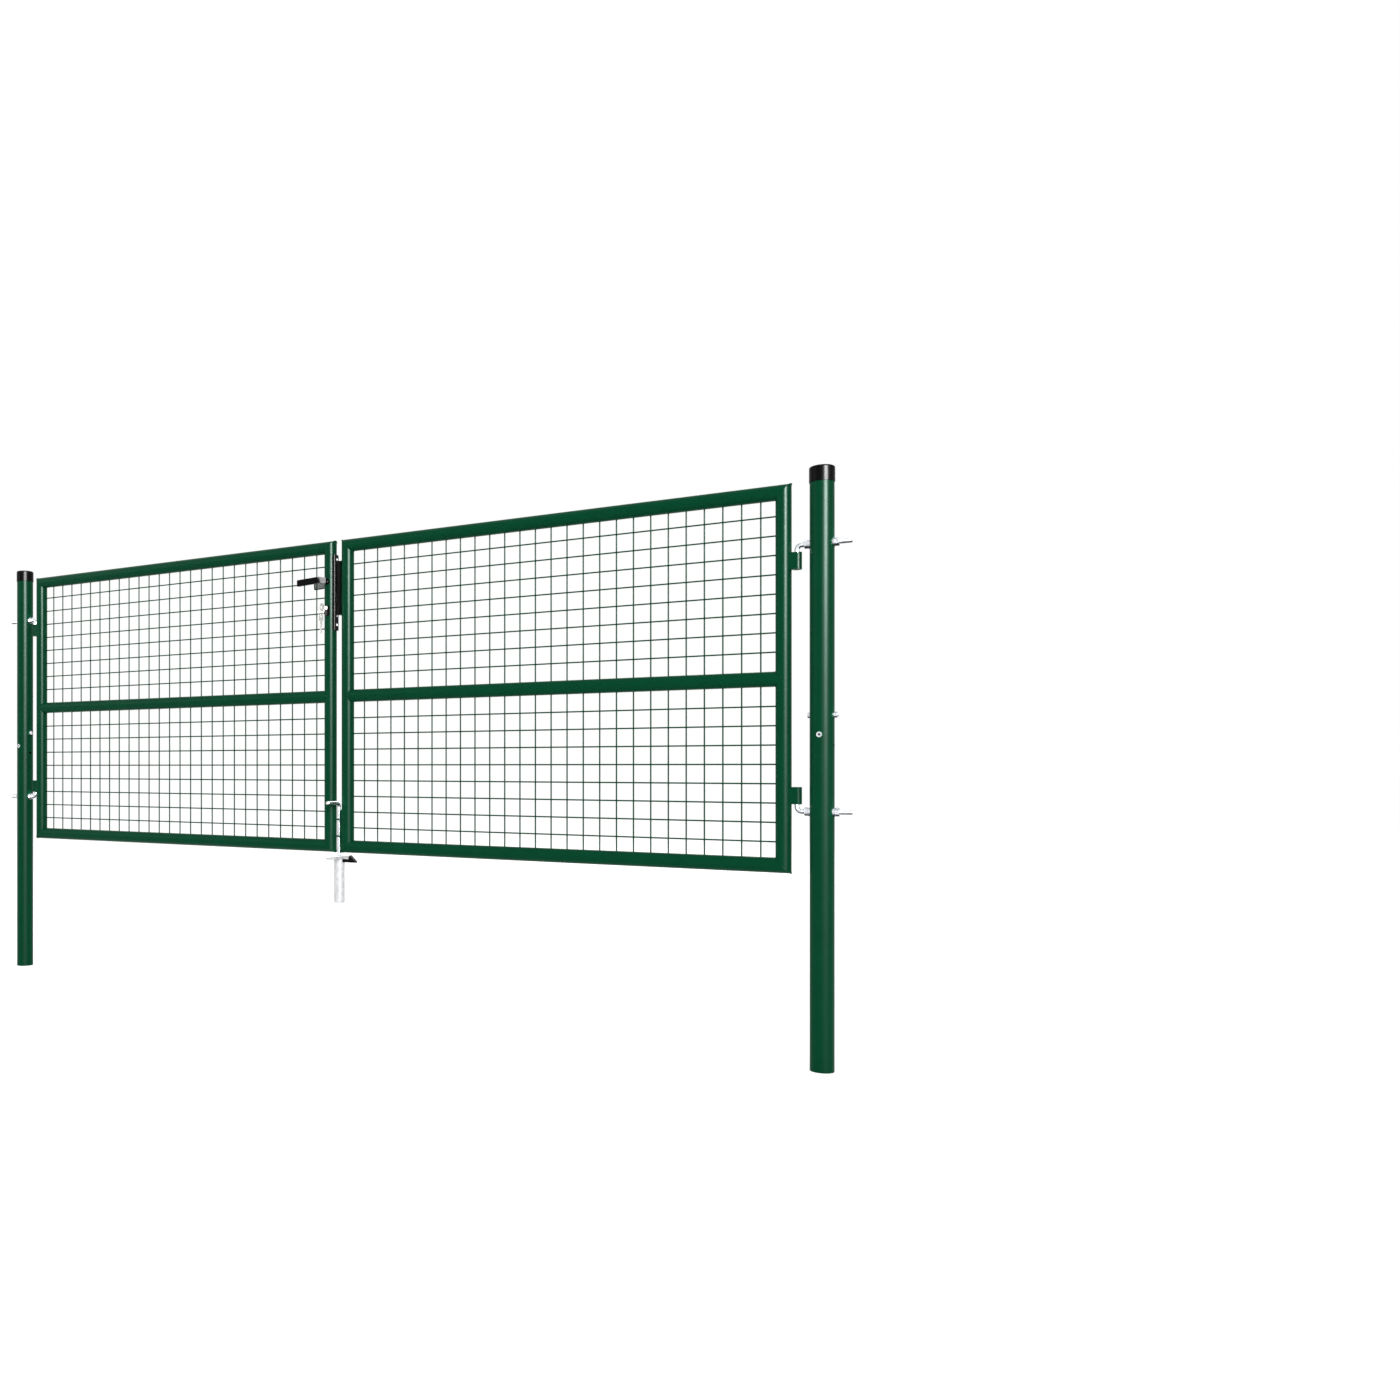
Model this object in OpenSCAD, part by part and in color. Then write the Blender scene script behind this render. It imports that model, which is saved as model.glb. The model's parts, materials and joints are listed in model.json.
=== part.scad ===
// Double-leaf welded-mesh garden gate: two round posts with caps, two framed leaves on
// adjustable hook bolts, a tube lock with lever handles, and a drop bolt with its ground sleeve.
// Millimetres. The origin is the middle of the left post's bottom end, X runs along the
// closed gate, Y through it and Z up.

/* [Leaves] */
// Width of one leaf over its outer tubes
leaf_w = 1410; // [1010:50:1810]
// Height of one leaf over its outer tubes
leaf_h = 1000; // [800:50:1250]
// Diameter of the frame tube
tube_d = 40; // [38:1:48]
// Wall of the frame tube
tube_wall = 1.3; // [1:0.1:3]
// Gap between the two closed leaves
leaf_gap = 28; // [27:1:36]
// Gap between the ground and a leaf
ground_gap = 16; // [16:1:60]

/* [Mesh] */
// Distance between neighbouring wires
mesh_pitch = 50; // [40:5:100]
// Diameter of a wire
wire_d = 4; // [3:0.5:6]
// How far the upright wires' plane lies behind the middle of the tubes
mesh_y = 6; // [3:0.5:8]

/* [Posts] */
// Diameter of a post
post_d = 60; // [50:1:70]
// Wall of a post
post_wall = 2; // [1.5:0.25:4]
// Length of a post below the ground
post_below = 479; // [300:1:700]
// How far a post rises above the leaves
post_rise = 30; // [15:1:80]

/* [Hinges] */
// Gap between a post and its leaf
hinge_gap = 46; // [44:1:60]
// Diameter of the hook bolt and its pin
pin_d = 12; // [10:1:14]
// Distance from the middle of the leaf up and down to a hook bolt
hinge_reach = 340; // [250:1:350]
// Distance from the surface of a leaf's tube to its pin axis
pin_off = 14; // [13:0.5:16]

/* [Lock] */
// Distance from the top of the leaf down to the lever axis
lever_drop = 132; // [110:1:160]
// Length of a lever from its axis to its tip
lever_len = 100; // [80:1:130]
// Distance between the lever axis and the key axis
lock_centres = 85; // [80:1:92]

/* [Drop bolt] */
// Diameter of the drop bolt
bolt_d = 12; // [10:1:12]
// Length of the drop bolt from its tip to the middle of its handle
bolt_len = 170; // [150:1:200]
// Length of the handle from the bolt axis
bolt_handle = 67; // [50:1:90]
// Length of the ground sleeve
sleeve_len = 145; // [100:1:200]

/* [Hidden] */

$fn = 64;
cut = 1; // how far a cutting shape runs past the face it cuts
wire_sides = 24; // facets of a thin wire when it is shown

// Colours
moss_green = "#00482c";
black_plastic = "#0c0c0c";
black_metal = "#141414";
zinc = "#c9ccd0";
bright_nickel = "#d8d8d6";

// Places along X
tube_r = tube_d / 2;
post_r = post_d / 2;
leaf_x0 = post_r + hinge_gap; // the leaf's edge beside the post
hinge_x = leaf_x0 + tube_r; // axis of the hinge stile
lock_x = leaf_x0 + leaf_w - tube_r; // axis of the stile in the middle of the gate
pin_x = leaf_x0 - pin_off;
span = 2 * (leaf_x0 + leaf_w) + leaf_gap; // between the posts' axes

// Heights
leaf_z0 = post_below + ground_gap;
leaf_z1 = leaf_z0 + leaf_h;
leaf_mid = (leaf_z0 + leaf_z1) / 2;
post_h = leaf_z1 + post_rise;
rail_w = leaf_w - tube_d; // between the stiles' axes
stile_h = leaf_h - tube_d; // between the outer rails' axes

// Mesh
mesh_edge = 45; // least distance from a tube's axis to the first wire
first_row = 70; // from the middle rail's axis to the nearest level wire
weld_depth = 0.4; // how deep crossing wires sink into each other
columns = floor((rail_w - 2 * mesh_edge) / mesh_pitch) + 1;
rows = floor((stile_h / 2 - first_row - mesh_edge) / mesh_pitch) + 1;

// Hinges
eye_h = 44;
eye_wall = 6;
eye_bore = pin_d + 0.2;
curl_gap = 2; // between the end of an eye's curl and its own strap
eye_off = 40; // from a hook bolt's axis to the middle of its eye
hook_bend = 12; // radius of the hook bolt's bend along its middle
hook_tail = 44; // how far the hook bolt runs past the far side of the post
pin_short = 1; // how far a pin ends inside its eye
nut_flats = 19;
nut_h = 10;
nut_face = 0.95; // diameter of a nut's flat end as a share of its flats
nut_bevel = 30; // slope of the corners at a nut's end, in degrees
tip_bevel = 1.5; // bevel on the end of a bolt
washer_d = 24;
washer_t = 3;

// Fixings of the neighbouring fence, as drops below the middle of the leaf
cross_bolt_drop = 95;
insert_drop = 145;
fence_hole_drop = 172;
cross_bolt_d = 8;
cross_flats = 13;
cross_head = 5.3;
cross_nut = 6.5;
cross_tip = 3;
cross_washer_d = 16;
cross_washer_t = 1.5;
head_seat = 2; // how far a bolt head reaches down around a post's round side
fence_hole_d = 10;
insert_d = 9;
insert_bore = 6;
insert_flange_d = 14;
insert_flange_t = 1.5;
insert_len = 16;

// Cap
cap_wall = 1.5;
cap_h = 40;
cap_top = 3;
cap_round = 5;

// Lock, with heights measured from the lever axis
lever_z = leaf_z1 - lever_drop;
key_z = lever_z - lock_centres;
forend_up = 86;
forend_down = 156;
forend_w = 25;
forend_t = 5.5;
forend_round = 6;
case_w = 18;
case_back = 15.5; // how far the case reaches behind the stile's axis
case_proud = 1; // how far the case stands out of the tube, into the forend
case_up = 63;
case_down = 123;
slot_clear = 0.5; // clearance of the tube around the lock case
screw_rises = [72, -138]; // forend screws
screw_d = 4.5;
screw_head = 9;
small_screw_drop = 24; // the cylinder's screw, below the key axis
small_screw_d = 4;
small_screw_head = 7;
screw_depth = 12;
spindle_w = 8;
spindle_bore = 12;
spindle_in = 12; // how far the spindle runs past the tube on each side
rose_d = 18;
rose_t = 3;
shield_edge = 1; // how far a shield reaches round the cylinder
shield_t = 3;
profile_d = 17; // round head of the lock cylinder's section
profile_w = 10;
profile_h = 33;
cylinder_out = 27;

// Latch and dead bolt
tongue_w = 12;
tongue_back = 8; // from the stile's axis to a tongue's back end
latch_h = 24;
latch_slope = 30; // slope of the latch's nose, in degrees
dead_bolt_h = 30;
dead_bolt_drop = 53;

// Levers
lever_out = 26; // from the tube's surface to the middle of a lever
lever_y = tube_r + lever_out;
lever_w = 21;
lever_t = 12;
lever_round = 3.5;
lever_bend = 20; // radius of a lever's bend along its middle
lever_rise = 4; // of a lever's middle over its axis, after its neck
lever_droop = 3; // slope of a lever down to its tip, in degrees
lever_gap = 0.5;
neck_d = 16;
neck_h = 15; // height of a lever where it leaves its rose
neck_flare = 0.5; // growth of the round neck's radius along its length
collar_h = 3;

// Strike
strike_off = 15; // from its face plate's near side to the stile's surface
strike_w = 16;
strike_t = 2.5;
strike_bend = 1;
strike_up = 65;
strike_down = 108;
strike_room = 4; // above and below a tongue in its slot
strike_side = 0.5; // beside a tongue in its slot

// Keys
key_t = 2.2;
bow_d = 25;
bow_hole = 7;
key_neck = 8;
key_neck_w = 12;
blade_w = 8;
blade_len = 28;
blade_cuts = [1.4, 2.2, 1.0, 1.8, 1.2]; // depths of the cuts in a blade
cut_pitch = 4.5;
key_clear = 1; // between the blade's tip and the end of the keyway
ring_d = 24;
ring_wire = 1.8;

// Drop bolt
bolt_off = 13.5; // from the stile's surface to the bolt axis
bolt_fit = 0.1;
bolt_bend = 15;
bolt_lift = 5; // tip above the sleeve's plate when the bolt is held up
plate_t = 4;
plate_w = 25;
plate_h = 137;
plate_round = 1.5;
guide_t = 5;
guide_wall = 3;
guide_rises = [52, 105.5]; // guides' middles above the leaf's lower edge
bolt_x = lock_x + tube_r + bolt_off; // seen from the right-hand post

// Ground sleeve
sleeve_d = 34;
sleeve_wall = 2;
sleeve_plate_t = 5;
sleeve_plate_w = 30;
sleeve_plate_l = 110;
sleeve_plate_round = 4;
sleeve_hole = 18;

// Catch beside the ground sleeve, with places measured from the drop bolt's axis and the ground
catch_t = 12;
catch_reach = 66;
catch_low = -15;
catch_high = -5; // top of its flat bar
catch_edge = 4; // height of its thin end
nose_back = 38;
nose_peak = 44;
nose_high = 8;

// Places the right-hand pieces, which are drawn as if they hung on the left-hand post
module on_right() translate([span, 0, 0]) mirror([1, 0, 0]) children();

// Lays a shape drawn along Z along X instead
module along_x() rotate([0, 90, 0]) children();

// Lays a shape drawn along Z along Y instead
module along_y() rotate([-90, 0, 0]) children();

// A bar of round section along X from x0 to x1
module round_bar(d, x0, x1) translate([x0, 0, 0]) along_x() cylinder(d = d, h = x1 - x0);

// A box between two corners
module box(low, high) translate(low) cube(high - low);

// Space taken by a whole post, for fitting pieces to its round side
module post_body() cylinder(d = post_d, h = post_h);

// Space taken by one upright or one rail of a leaf
module stile_body(x) translate([x, 0, leaf_z0]) cylinder(d = tube_d, h = leaf_h);
module rail_body(z) translate([0, 0, z]) round_bar(tube_d, hinge_x, lock_x);

// Flat shape from x = 0 to reach and between two heights, with two rounded corners
module rounded_slab(reach, low, high, r) {
    translate([0, low]) square([reach - r, high - low]);
    translate([0, low + r]) square([reach, high - low - 2 * r]);
    for (y = [low + r, high - r]) translate([reach - r, y]) circle(r = r);
}

// Flat bar upright on the round side of the stile in the middle of the gate
module bar_on_stile(width, thick, r, z0, z1) translate([lock_x, 0, z0]) linear_extrude(z1 - z0)
    rounded_slab(tube_r + thick, -width / 2, width / 2, r);

// Hexagonal nut or head with its corners bevelled at both ends
module hexagon(flats, thick) {
    flat_r = nut_face * flats / 2;
    wide = flats / 2 / cos(30) + cut;
    rise = (wide - flat_r) * tan(nut_bevel);
    intersection() {
        cylinder(d = flats / cos(30), h = thick, $fn = 6);
        rotate_extrude() polygon([[0, 0], [flat_r, 0], [wide, rise],
            [wide, thick - rise], [flat_r, thick], [0, thick]]);
    }
}

// Round rod along +Z with its lower end bevelled
module rod(d, length) {
    cylinder(d1 = d - 2 * tip_bevel, d2 = d, h = tip_bevel);
    translate([0, 0, tip_bevel]) cylinder(d = d, h = length - tip_bevel);
}

// ---------------------------------------------------------------- posts

module post() color(moss_green) difference() {
    post_body();
    translate([0, 0, -cut]) cylinder(d = post_d - 2 * post_wall, h = post_h + 2 * cut);
    for (side = [-1, 1])
        translate([0, 0, leaf_mid + side * hinge_reach])
            round_bar(pin_d, -post_r - cut, post_r + cut);
    translate([0, 0, leaf_mid - cross_bolt_drop])
        round_bar(cross_bolt_d, -post_r - cut, post_r + cut);
    translate([0, 0, leaf_mid - fence_hole_drop])
        round_bar(fence_hole_d, -post_r - cut, post_r + cut);
    translate([0, -post_r - cut, leaf_mid - insert_drop])
        along_y() cylinder(d = insert_d, h = post_r);
}

module cap_profile(r, h) {
    square([r - cap_round, h]);
    square([r, h - cap_round]);
    translate([r - cap_round, h - cap_round]) intersection() {
        circle(r = cap_round);
        square(cap_round);
    }
}

module post_cap() color(black_plastic) translate([0, 0, post_h + cap_top - cap_h]) difference() {
    rotate_extrude() cap_profile(post_r + cap_wall, cap_h);
    translate([0, 0, -cut]) cylinder(d = post_d + 0.1, h = cap_h - cap_top + cut);
}

// ---------------------------------------------------------------- hinges

// Hook bolt with its pin pointing down; side -1 turns the pin up
module hook_bolt(side) color(zinc)
    translate([0, 0, leaf_mid + side * hinge_reach]) mirror([0, 0, side < 0 ? 1 : 0]) {
        pin_len = eye_off + eye_h / 2 - pin_short - hook_bend;
        tail_x = -post_r - hook_tail;
        translate([tail_x, 0, 0]) along_x() rod(pin_d, pin_x - hook_bend - tail_x);
        translate([pin_x - hook_bend, 0, -hook_bend]) rotate([90, 0, 0])
            rotate_extrude(angle = 90) translate([hook_bend, 0]) circle(d = pin_d);
        translate([pin_x, 0, -hook_bend - pin_len]) rod(pin_d, pin_len);
    }

// Nut with a saddle washer that fits the post's round side, on the +X side of the post
module saddle_nut(bore, flats, nut, disc, thick) difference() {
    union() {
        round_bar(disc, post_r / 2, post_r + thick);
        translate([post_r + thick, 0, 0]) along_x() hexagon(flats, nut);
    }
    round_bar(bore, 0, post_r + thick + nut + cut);
    translate([0, 0, -disc]) cylinder(d = post_d, h = 2 * disc);
}

module hinge_nuts() color(zinc)
    for (side = [-1, 1], far = [0, 1])
        translate([0, 0, leaf_mid + side * hinge_reach]) mirror([far, 0, 0])
            saddle_nut(pin_d, nut_flats, nut_h, washer_d, washer_t);

// Rolled hinge eye: a flat strap from the front of the stile that curls round the pin
module hinge_eye(side) color(moss_green)
    translate([pin_x, 0, leaf_mid + side * (hinge_reach - eye_off) - eye_h / 2]) difference() {
        barrel_r = eye_bore / 2 + eye_wall;
        union() {
            cylinder(r = barrel_r, h = eye_h);
            box([0, -barrel_r, 0], [hinge_x - pin_x, -eye_bore / 2, eye_h]);
        }
        translate([0, 0, -cut]) cylinder(d = eye_bore, h = eye_h + 2 * cut);
        box([0, -eye_bore / 2, -cut], [barrel_r + cut, curl_gap - eye_bore / 2, eye_h + cut]);
        translate([hinge_x - pin_x, 0, -cut]) cylinder(d = tube_d, h = eye_h + 2 * cut);
    }

// ---------------------------------------------------------------- fixings on a post

module cross_bolt() color(zinc) translate([0, 0, leaf_mid - cross_bolt_drop]) {
    tail_x = -post_r - cross_washer_t - cross_nut - cross_tip;
    difference() {
        translate([post_r - head_seat, 0, 0]) along_x()
            hexagon(cross_flats, cross_head + head_seat);
        translate([0, 0, -cross_flats]) cylinder(d = post_d, h = 2 * cross_flats);
    }
    translate([tail_x, 0, 0]) along_x() rod(cross_bolt_d, post_r + cut - tail_x);
    mirror([1, 0, 0])
        saddle_nut(cross_bolt_d - cut, cross_flats, cross_nut, cross_washer_d, cross_washer_t);
}

module insert() color(zinc) translate([0, 0, leaf_mid - insert_drop]) difference() {
    union() {
        difference() {
            translate([0, -post_r - insert_flange_t, 0]) along_y()
                cylinder(d = insert_flange_d, h = insert_flange_t + post_r / 2);
            translate([0, 0, -insert_flange_d]) cylinder(d = post_d, h = 2 * insert_flange_d);
        }
        translate([0, -post_r - insert_flange_t, 0]) along_y()
            cylinder(d = insert_d, h = insert_len);
    }
    translate([0, -post_r - insert_flange_t - cut, 0]) along_y()
        cylinder(d = insert_bore, h = insert_len + 2 * cut);
}

// ---------------------------------------------------------------- leaf frame

// Removes all above a plane through the Y axis that rises at 45 degrees towards +X
module mitre_cut() rotate([0, -45, 0]) box([-2, -1, 0] * tube_d, [2, 1, 2] * tube_d);

// Frame tube along X, mitred at both ends, with its inner side up
module mitred_tube(length) difference() {
    round_bar(tube_d, -tube_r, length + tube_r);
    round_bar(tube_d - 2 * tube_wall, -tube_d, length + tube_d);
    mitre_cut();
    translate([length, 0, 0]) mirror([1, 0, 0]) mitre_cut();
}

module bottom_rail() color(moss_green)
    translate([hinge_x, 0, leaf_z0 + tube_r]) mitred_tube(rail_w);

module top_rail() color(moss_green)
    translate([hinge_x, 0, leaf_z1 - tube_r]) mirror([0, 0, 1]) mitred_tube(rail_w);

module inner_stile(x) translate([x, 0, leaf_z0 + tube_r])
    rotate([0, -90, 0]) mitred_tube(stile_h);

module hinge_stile() color(moss_green)
    translate([2 * hinge_x, 0, 0]) mirror([1, 0, 0]) inner_stile(hinge_x);

module meeting_stile() color(moss_green) inner_stile(lock_x);

module lock_stile() color(moss_green) difference() {
    inner_stile(lock_x);
    case_body(slot_clear, 0, tube_d);
    translate([lock_x, -tube_d, lever_z]) along_y() cylinder(d = spindle_bore, h = 2 * tube_d);
    translate([lock_x, -tube_d, key_z]) cylinder_profile(2 * tube_d, slot_clear);
    forend_holes();
}

module middle_rail() color(moss_green) difference() {
    translate([0, 0, leaf_mid]) round_bar(tube_d, hinge_x, lock_x);
    translate([0, 0, leaf_mid]) round_bar(tube_d - 2 * tube_wall, leaf_x0, lock_x + tube_d);
    stile_body(hinge_x);
    stile_body(lock_x);
}

// Welded mesh between two rails; the level wires lie in front of the upright ones
module mesh_panel(z0, z1, first) color(moss_green) difference() {
    bite = tube_r - wire_d; // wires start inside the tubes and are cut to their round sides
    first_x = hinge_x + (rail_w - (columns - 1) * mesh_pitch) / 2;
    union() {
        for (i = [0 : columns - 1])
            translate([first_x + i * mesh_pitch, mesh_y, z0 + bite])
                cylinder(d = wire_d, h = z1 - z0 - 2 * bite, $fn = wire_sides);
        for (k = [0 : rows - 1])
            translate([0, mesh_y - wire_d + weld_depth, first + k * mesh_pitch])
                round_bar(wire_d, hinge_x + bite, lock_x - bite, $fn = wire_sides);
    }
    rail_body(z0);
    rail_body(z1);
    stile_body(hinge_x);
    stile_body(lock_x);
}

module mesh_upper() mesh_panel(leaf_mid, leaf_z1 - tube_r, leaf_mid + first_row);
module mesh_lower() mesh_panel(leaf_z0 + tube_r, leaf_mid,
    leaf_mid - first_row - (rows - 1) * mesh_pitch);

// ---------------------------------------------------------------- lock

// Section of a profile cylinder run along +Y, grown by a clearance
module cylinder_profile(length, grow) {
    along_y() cylinder(d = profile_d + 2 * grow, h = length);
    foot = (profile_d + profile_w) / 2 - profile_h; // middle of the section's rounded foot
    box([-profile_w / 2 - grow, 0, foot], [profile_w / 2 + grow, length, 0]);
    translate([0, 0, foot]) along_y() cylinder(d = profile_w + 2 * grow, h = length);
}

// Space of the lock case between two places beside the stile's axis, grown by a clearance
module case_body(grow, x0, x1)
    box([lock_x + x0, -case_w / 2 - grow, lever_z - case_down - grow],
        [lock_x + x1, case_w / 2 + grow, lever_z + case_up + grow]);

// Space of a tongue that lies so far below the lever axis
module tongue_space(drop, h)
    box([lock_x + tongue_back, -tongue_w / 2, lever_z - drop - h / 2],
        [lock_x + tube_d, tongue_w / 2, lever_z - drop + h / 2]);

// Countersunk hole from the forend's face inwards
module screw_hole(z, d, head) translate([lock_x + tube_r + forend_t, 0, z]) rotate([0, -90, 0]) {
    cylinder(d = d, h = screw_depth);
    cylinder(d1 = head, d2 = d, h = (head - d) / 2);
    translate([0, 0, -cut]) cylinder(d = head, h = cut);
}

module forend_holes() {
    for (rise = screw_rises) screw_hole(lever_z + rise, screw_d, screw_head);
    screw_hole(key_z - small_screw_drop, small_screw_d, small_screw_head);
}

module lock_case() color(black_metal) difference() {
    case_body(0, -case_back, tube_r + case_proud);
    translate([lock_x, -case_w, lever_z]) along_y() cylinder(d = spindle_bore, h = 2 * case_w);
    translate([lock_x, -case_w, key_z]) cylinder_profile(2 * case_w, 0);
    tongue_space(0, latch_h);
    tongue_space(dead_bolt_drop, dead_bolt_h);
    forend_holes();
}

// Front plate of the lock, hollowed to the tube and to the case, with rounded front edges
module lock_forend() color(black_metal) difference() {
    bar_on_stile(forend_w, forend_t, forend_round, lever_z - forend_down, lever_z + forend_up);
    stile_body(lock_x);
    case_body(0, 0, tube_r + case_proud);
    tongue_space(0, latch_h);
    tongue_space(dead_bolt_drop, dead_bolt_h);
    forend_holes();
}

// Space of a tongue as far as its nose, which is level with the forend
module tongue(drop, h) intersection() {
    tongue_space(drop, h);
    box([lock_x, -tongue_w, lever_z - drop - h],
        [lock_x + tube_r + forend_t, tongue_w, lever_z - drop + h]);
}

// Latch tongue, drawn back, with its slanted nose
module latch_tongue() color(zinc) difference() {
    tongue(0, latch_h);
    translate([lock_x + tube_r + forend_t, -tongue_w / 2, lever_z - latch_h])
        rotate([0, 0, latch_slope]) cube([tongue_w, 2 * tongue_w, 2 * latch_h]);
}

module dead_bolt() color(zinc) tongue(dead_bolt_drop, dead_bolt_h);

module lock_cylinder() color(bright_nickel) difference() {
    translate([lock_x, -cylinder_out, key_z]) cylinder_profile(2 * cylinder_out, 0);
    translate([lock_x, -cylinder_out, key_z])
        box([-key_t / 2, -cut, -blade_w / 2], [key_t / 2, blade_len + key_clear, blade_w / 2]);
}

// Round rose behind a lever and long shield around the cylinder, on the front of the stile
module roses() color(black_metal) {
    shield_r = profile_d / 2 + shield_edge;
    difference() {
        translate([lock_x, -tube_r - rose_t, lever_z]) along_y()
            cylinder(d = rose_d, h = tube_r);
        stile_body(lock_x);
        translate([lock_x, -tube_d, lever_z]) along_y() cylinder(d = spindle_bore, h = tube_d);
    }
    difference() {
        translate([lock_x, -tube_r - shield_t, key_z]) {
            for (z = [0, profile_d - profile_h])
                translate([0, 0, z]) along_y() cylinder(r = shield_r, h = tube_r);
            box([-shield_r, 0, profile_d - profile_h], [shield_r, tube_r, 0]);
        }
        stile_body(lock_x);
        translate([lock_x, -tube_d, key_z]) cylinder_profile(tube_d, 0);
    }
}

module lever_spindle() color(zinc)
    box([lock_x - spindle_w / 2, -tube_r - spindle_in, lever_z - spindle_w / 2],
        [lock_x + spindle_w / 2, tube_r + spindle_in, lever_z + spindle_w / 2]);

// Section of a lever's bar around the origin: thin, tall and round-edged
module lever_section() {
    square([lever_t, lever_w - 2 * lever_round], center = true);
    square([lever_t - 2 * lever_round, lever_w], center = true);
    for (x = [-1, 1], z = [-1, 1])
        translate([x * (lever_t / 2 - lever_round), z * (lever_w / 2 - lever_round)])
            circle(r = lever_round);
}

// Bar of the front lever, from its rose round the bend and along the leaf, around its own axis
module lever_bar() {
    root_y = -tube_r - rose_t - lever_gap;
    bend_y = -lever_y + lever_bend;
    end_x = -lever_len + lever_t / 2;
    translate([0, root_y, 0]) rotate([90, 0, 0]) linear_extrude(root_y - bend_y) lever_section();
    translate([-lever_bend, bend_y, 0]) rotate([0, 0, -90]) rotate_extrude(angle = 90)
        translate([lever_bend, 0]) lever_section();
    translate([end_x, -lever_y, 0]) rotate([90, 0, 90])
        linear_extrude(-lever_bend - end_x) lever_section();
    translate([end_x, -lever_y, 0]) rotate_extrude() intersection() {
        lever_section();
        translate([0, -lever_w]) square([lever_t, 2 * lever_w]);
    }
}

// Space that tapers a lever towards its rose, in height and to a round neck
module lever_taper() {
    root_y = -tube_r - rose_t;
    flare = lever_out - rose_t - lever_t / 2;
    full_y = root_y - flare;
    intersection() {
        translate([-lever_len, 0, 0]) rotate([90, 0, 90]) linear_extrude(2 * lever_len)
            polygon([[root_y, -neck_h / 2], [root_y, neck_h / 2],
                [-lever_y, lever_rise + lever_w / 2], [-lever_y - lever_t, lever_rise + lever_w / 2],
                [-lever_y - lever_t, lever_rise - lever_w / 2], [-lever_y, lever_rise - lever_w / 2]]);
        union() {
            translate([0, root_y, 0]) rotate([90, 0, 0])
                cylinder(d1 = neck_d, d2 = neck_d + 2 * neck_flare * flare, h = flare);
            box([-lever_len, full_y - 2 * lever_t, -lever_w], [lever_t, full_y + cut, 2 * lever_w]);
        }
    }
}

// Front lever: a bent bar on a round collar, which the spindle enters
module lever() color(black_plastic) translate([lock_x, 0, lever_z]) difference() {
    union() {
        rotate([0, -lever_droop, 0]) intersection() {
            translate([0, 0, lever_rise]) lever_bar();
            lever_taper();
        }
        translate([0, -tube_r - rose_t - lever_gap - collar_h, 0]) along_y()
            cylinder(d = neck_d, h = collar_h);
    }
    box([-spindle_w / 2, -tube_r - spindle_in, -spindle_w / 2], [spindle_w / 2, 0, spindle_w / 2]);
}

// A flat key in the YZ plane: bow around the origin, cut blade along +Y
module flat_key() translate([-key_t / 2, 0, 0]) difference() {
    shoulder = bow_d / 2 + key_neck;
    union() {
        along_x() cylinder(d = bow_d, h = key_t);
        box([0, 0, -key_neck_w / 2], [key_t, shoulder, key_neck_w / 2]);
        box([0, 0, -blade_w / 2], [key_t, shoulder + blade_len, blade_w / 2]);
    }
    translate([-cut, bow_hole - bow_d / 2, 0]) along_x()
        cylinder(d = bow_hole, h = key_t + 2 * cut);
    for (i = [0 : len(blade_cuts) - 1])
        translate([key_t / 2, shoulder + (i + 1) * cut_pitch, blade_w / 2]) rotate([45, 0, 0])
            cube([key_t + cut, blade_cuts[i] * sqrt(2), blade_cuts[i] * sqrt(2)], center = true);
}

// The key's blade is in the cylinder; the ring hangs in its bow and the spare key in the ring
bow_y = -cylinder_out - key_neck - bow_d / 2;
ring_y = bow_y - bow_d / 2 + bow_hole;
hang = (bow_hole - ring_wire) / 2; // from a hole's middle to a wire that rests in it
ring_z = key_z - hang - ring_d / 2;
spare_z = ring_z - ring_d / 2 - hang - bow_d / 2 + bow_hole; // middle of the spare key's bow

module key() color(bright_nickel) translate([lock_x, bow_y, key_z]) flat_key();

module key_ring() color(bright_nickel) translate([lock_x, ring_y, ring_z]) rotate([90, 0, 0])
    rotate_extrude() translate([ring_d / 2, 0]) circle(d = ring_wire, $fn = wire_sides);

module spare_key() color(bright_nickel) translate([lock_x, ring_y, spare_z])
    rotate([-90, 0, 0]) flat_key();

// ---------------------------------------------------------------- strike and drop bolt

// Slot in the strike's face for a tongue that lies so far below the lever axis
module strike_slot(drop, h) {
    near = lock_x + tube_r + strike_off;
    box([near - cut, -tongue_w / 2 - strike_side, lever_z - drop - h / 2 - strike_room],
        [near + strike_t + cut, tongue_w / 2 + strike_side, lever_z - drop + h / 2 + strike_room]);
}

// Bent flat strip that stands off the meeting stile, slotted for the latch and the dead bolt
module strike() color(black_metal) difference() {
    reach = tube_r + strike_off;
    translate([lock_x, strike_w / 2, lever_z]) rotate([90, 0, 0]) linear_extrude(strike_w)
        difference() {
            rounded_slab(reach + strike_t, -strike_down, strike_up, strike_bend + strike_t);
            translate([-cut, 0]) rounded_slab(reach + cut, strike_t - strike_down,
                strike_up - strike_t, strike_bend);
        }
    stile_body(lock_x);
    strike_slot(0, latch_h);
    strike_slot(dead_bolt_drop, dead_bolt_h);
}

// Back plate on the meeting stile with two guide eyes for the drop bolt
module drop_bolt_bracket() color(moss_green) difference() {
    union() {
        bar_on_stile(plate_w, plate_t, plate_round, leaf_z0, leaf_z0 + plate_h);
        for (rise = guide_rises) translate([0, 0, leaf_z0 + rise - guide_t / 2]) {
            translate([bolt_x, 0, 0]) cylinder(d = bolt_d + 2 * guide_wall, h = guide_t);
            box([lock_x + tube_r, -bolt_d / 2 - guide_wall, 0],
                [bolt_x, bolt_d / 2 + guide_wall, guide_t]);
        }
    }
    translate([bolt_x, 0, leaf_z0]) cylinder(d = bolt_d + 2 * bolt_fit, h = plate_h);
    stile_body(lock_x);
}

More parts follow.
